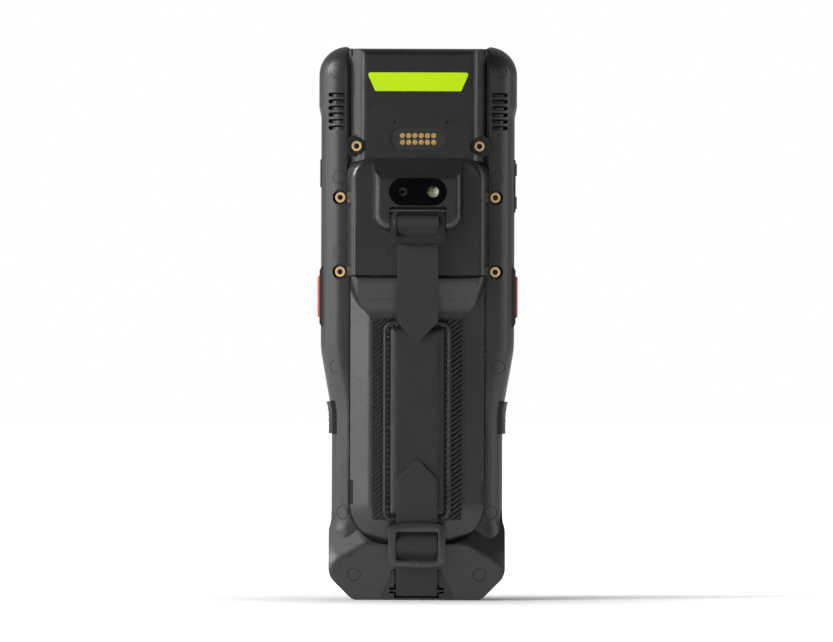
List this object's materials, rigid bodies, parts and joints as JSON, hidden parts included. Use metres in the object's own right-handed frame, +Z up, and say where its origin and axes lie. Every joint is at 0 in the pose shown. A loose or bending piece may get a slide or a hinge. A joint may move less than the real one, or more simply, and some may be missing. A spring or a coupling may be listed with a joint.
{
  "type": "portable barcode data terminal",
  "caption": "Handheld barcode terminal with touch screen, keypad, side scan keys, rear camera, tilt-out battery and a swinging padded hand strap.",
  "frame": {"origin": "centre of the bounding box in X and Y, at the base of the foot", "axes": "+Z up the length towards the scan window, -Y the back with camera, battery and strap, +Y the front with screen and keypad"},
  "size_m": [0.0732, 0.034, 0.2018],
  "materials": {
    "housing_plastic": "fine texture",
    "overmould": "matte",
    "plug_rubber": "matte",
    "front_plastic": "fine texture",
    "seal_rubber": "matte",
    "screw_steel": "satin",
    "insert_brass": "satin",
    "cover_glass": "polished",
    "display": "gloss",
    "mesh_steel": "satin",
    "circuit_board": "satin",
    "shield_steel": "satin",
    "module_plastic": "satin",
    "scan_glass": "polished",
    "camera_glass": "polished",
    "flash_plastic": "gloss",
    "connector_plastic": "satin",
    "contact_gold": "polished",
    "switch_steel": "satin",
    "label_lime": "satin",
    "key_frame_plastic": "satin",
    "flat_key_plastic": "satin",
    "cover_plastic": "fine texture",
    "case_plastic": "satin",
    "cell_foil": "satin",
    "webbing": "woven",
    "pad_leather": "fine grain",
    "buckle_metal": "satin",
    "pin_steel": "satin",
    "scan_key_red": "satin",
    "latch_plastic": "satin",
    "keypad_rubber": "satin",
    "keypad_scan": "satin"
  },
  "bodies": {
    "housing": {"rear_housing": "housing_plastic", "bumper_frame": "overmould", "screw_plugs": "plug_rubber", "front_housing": "front_plastic", "housing_seal": "seal_rubber", "housing_screws": "screw_steel", "threaded_inserts": "insert_brass", "touch_glass": "cover_glass", "display_module": "display", "earpiece_mesh": "mesh_steel", "key_board": "circuit_board", "main_board": "circuit_board", "shield_cans": "shield_steel", "scan_engine": "module_plastic", "scan_window": "scan_glass", "camera_window": "camera_glass", "camera_module": "module_plastic", "flash_lens": "flash_plastic", "connector_block": "connector_plastic", "connector_pins": "contact_gold", "loudspeakers": "module_plastic", "battery_contacts": "contact_gold", "side_switches": "switch_steel", "label_plate": "label_lime", "side_key_frames": "key_frame_plastic", "strap_pin": "pin_steel"},
    "battery": {"battery_cover": "cover_plastic", "battery_case": "case_plastic", "battery_cells": "cell_foil", "battery_seal": "seal_rubber"},
    "strap": {"strap_buckle_upper": "buckle_metal", "strap_buckle_lower": "buckle_metal", "strap_pad": "pad_leather", "strap_webbing": "webbing", "anchor_pin": "pin_steel"},
    "scan_key_right": {"scan_key_right": "scan_key_red"},
    "scan_key_left": {"scan_key_left": "scan_key_red"},
    "volume_key": {"volume_key": "flat_key_plastic"},
    "power_key": {"power_key": "flat_key_plastic"},
    "cover_latch_right": {"cover_latch_right": "latch_plastic"},
    "cover_latch_left": {"cover_latch_left": "latch_plastic"},
    "key_up": {"key_up": "keypad_rubber"},
    "key_left": {"key_left": "keypad_rubber"},
    "key_scan": {"key_scan": "keypad_scan"},
    "key_right": {"key_right": "keypad_rubber"},
    "key_back": {"key_back": "keypad_rubber"},
    "key_down": {"key_down": "keypad_rubber"},
    "key_enter": {"key_enter": "keypad_rubber"},
    "key_1": {"key_1": "keypad_rubber"},
    "key_2": {"key_2": "keypad_rubber"},
    "key_3": {"key_3": "keypad_rubber"},
    "key_4": {"key_4": "keypad_rubber"},
    "key_5": {"key_5": "keypad_rubber"},
    "key_6": {"key_6": "keypad_rubber"},
    "key_7": {"key_7": "keypad_rubber"},
    "key_8": {"key_8": "keypad_rubber"},
    "key_9": {"key_9": "keypad_rubber"},
    "key_star": {"key_star": "keypad_rubber"},
    "key_0": {"key_0": "keypad_rubber"},
    "key_hash": {"key_hash": "keypad_rubber"}
  },
  "joints": [
    {"name": "battery_tilt", "type": "hinge", "parent": "housing", "child": "battery", "pos_m": [0, -0.0104, 0.1171], "axis": [-1, 0, 0], "range_deg": [0, 45]},
    {"name": "strap_swing", "type": "hinge", "parent": "housing", "child": "strap", "pos_m": [0, -0.0134, 0.142], "axis": [-1, 0, 0], "range_deg": [0, 90]},
    {"name": "scan_press_right", "type": "slide", "parent": "housing", "child": "scan_key_right", "axis": [-1, 0, 0], "range_m": [0, 0.0005], "stiffness_N_per_m": 2500},
    {"name": "scan_press_left", "type": "slide", "parent": "housing", "child": "scan_key_left", "axis": [1, 0, 0], "range_m": [0, 0.0005], "stiffness_N_per_m": 2500},
    {"name": "power_press", "type": "slide", "parent": "housing", "child": "power_key", "axis": [1, 0, 0], "range_m": [0, 0.00035], "stiffness_N_per_m": 2500},
    {"name": "volume_rock", "type": "hinge", "parent": "housing", "child": "volume_key", "pos_m": [0.0342, 0.0032, 0.151], "axis": [0, 1, 0], "range_deg": [-1.5, 1.5], "stiffness_Nm_per_rad": 0.45},
    {"name": "latch_press_right", "type": "slide", "parent": "housing", "child": "cover_latch_right", "axis": [-1, 0, 0], "range_m": [0, 0.0008], "stiffness_N_per_m": 1500},
    {"name": "latch_press_left", "type": "slide", "parent": "housing", "child": "cover_latch_left", "axis": [1, 0, 0], "range_m": [0, 0.0008], "stiffness_N_per_m": 1500},
    {"name": "key_up_press", "type": "slide", "parent": "housing", "child": "key_up", "axis": [0, -1, 0], "range_m": [0, 0.0005], "stiffness_N_per_m": 2000},
    {"name": "key_left_press", "type": "slide", "parent": "housing", "child": "key_left", "axis": [0, -1, 0], "range_m": [0, 0.0005], "stiffness_N_per_m": 2000},
    {"name": "key_scan_press", "type": "slide", "parent": "housing", "child": "key_scan", "axis": [0, -1, 0], "range_m": [0, 0.0005], "stiffness_N_per_m": 2000},
    {"name": "key_right_press", "type": "slide", "parent": "housing", "child": "key_right", "axis": [0, -1, 0], "range_m": [0, 0.0005], "stiffness_N_per_m": 2000},
    {"name": "key_back_press", "type": "slide", "parent": "housing", "child": "key_back", "axis": [0, -1, 0], "range_m": [0, 0.0005], "stiffness_N_per_m": 2000},
    {"name": "key_down_press", "type": "slide", "parent": "housing", "child": "key_down", "axis": [0, -1, 0], "range_m": [0, 0.0005], "stiffness_N_per_m": 2000},
    {"name": "key_enter_press", "type": "slide", "parent": "housing", "child": "key_enter", "axis": [0, -1, 0], "range_m": [0, 0.0005], "stiffness_N_per_m": 2000},
    {"name": "key_1_press", "type": "slide", "parent": "housing", "child": "key_1", "axis": [0, -1, 0], "range_m": [0, 0.0005], "stiffness_N_per_m": 2000},
    {"name": "key_2_press", "type": "slide", "parent": "housing", "child": "key_2", "axis": [0, -1, 0], "range_m": [0, 0.0005], "stiffness_N_per_m": 2000},
    {"name": "key_3_press", "type": "slide", "parent": "housing", "child": "key_3", "axis": [0, -1, 0], "range_m": [0, 0.0005], "stiffness_N_per_m": 2000},
    {"name": "key_4_press", "type": "slide", "parent": "housing", "child": "key_4", "axis": [0, -1, 0], "range_m": [0, 0.0005], "stiffness_N_per_m": 2000},
    {"name": "key_5_press", "type": "slide", "parent": "housing", "child": "key_5", "axis": [0, -1, 0], "range_m": [0, 0.0005], "stiffness_N_per_m": 2000},
    {"name": "key_6_press", "type": "slide", "parent": "housing", "child": "key_6", "axis": [0, -1, 0], "range_m": [0, 0.0005], "stiffness_N_per_m": 2000},
    {"name": "key_7_press", "type": "slide", "parent": "housing", "child": "key_7", "axis": [0, -1, 0], "range_m": [0, 0.0005], "stiffness_N_per_m": 2000},
    {"name": "key_8_press", "type": "slide", "parent": "housing", "child": "key_8", "axis": [0, -1, 0], "range_m": [0, 0.0005], "stiffness_N_per_m": 2000},
    {"name": "key_9_press", "type": "slide", "parent": "housing", "child": "key_9", "axis": [0, -1, 0], "range_m": [0, 0.0005], "stiffness_N_per_m": 2000},
    {"name": "key_star_press", "type": "slide", "parent": "housing", "child": "key_star", "axis": [0, -1, 0], "range_m": [0, 0.0005], "stiffness_N_per_m": 2000},
    {"name": "key_0_press", "type": "slide", "parent": "housing", "child": "key_0", "axis": [0, -1, 0], "range_m": [0, 0.0005], "stiffness_N_per_m": 2000},
    {"name": "key_hash_press", "type": "slide", "parent": "housing", "child": "key_hash", "axis": [0, -1, 0], "range_m": [0, 0.0005], "stiffness_N_per_m": 2000}
  ],
  "couplings": [
    {"joint": "strap_swing", "follows": "battery_tilt", "ratio": 2}
  ]
}
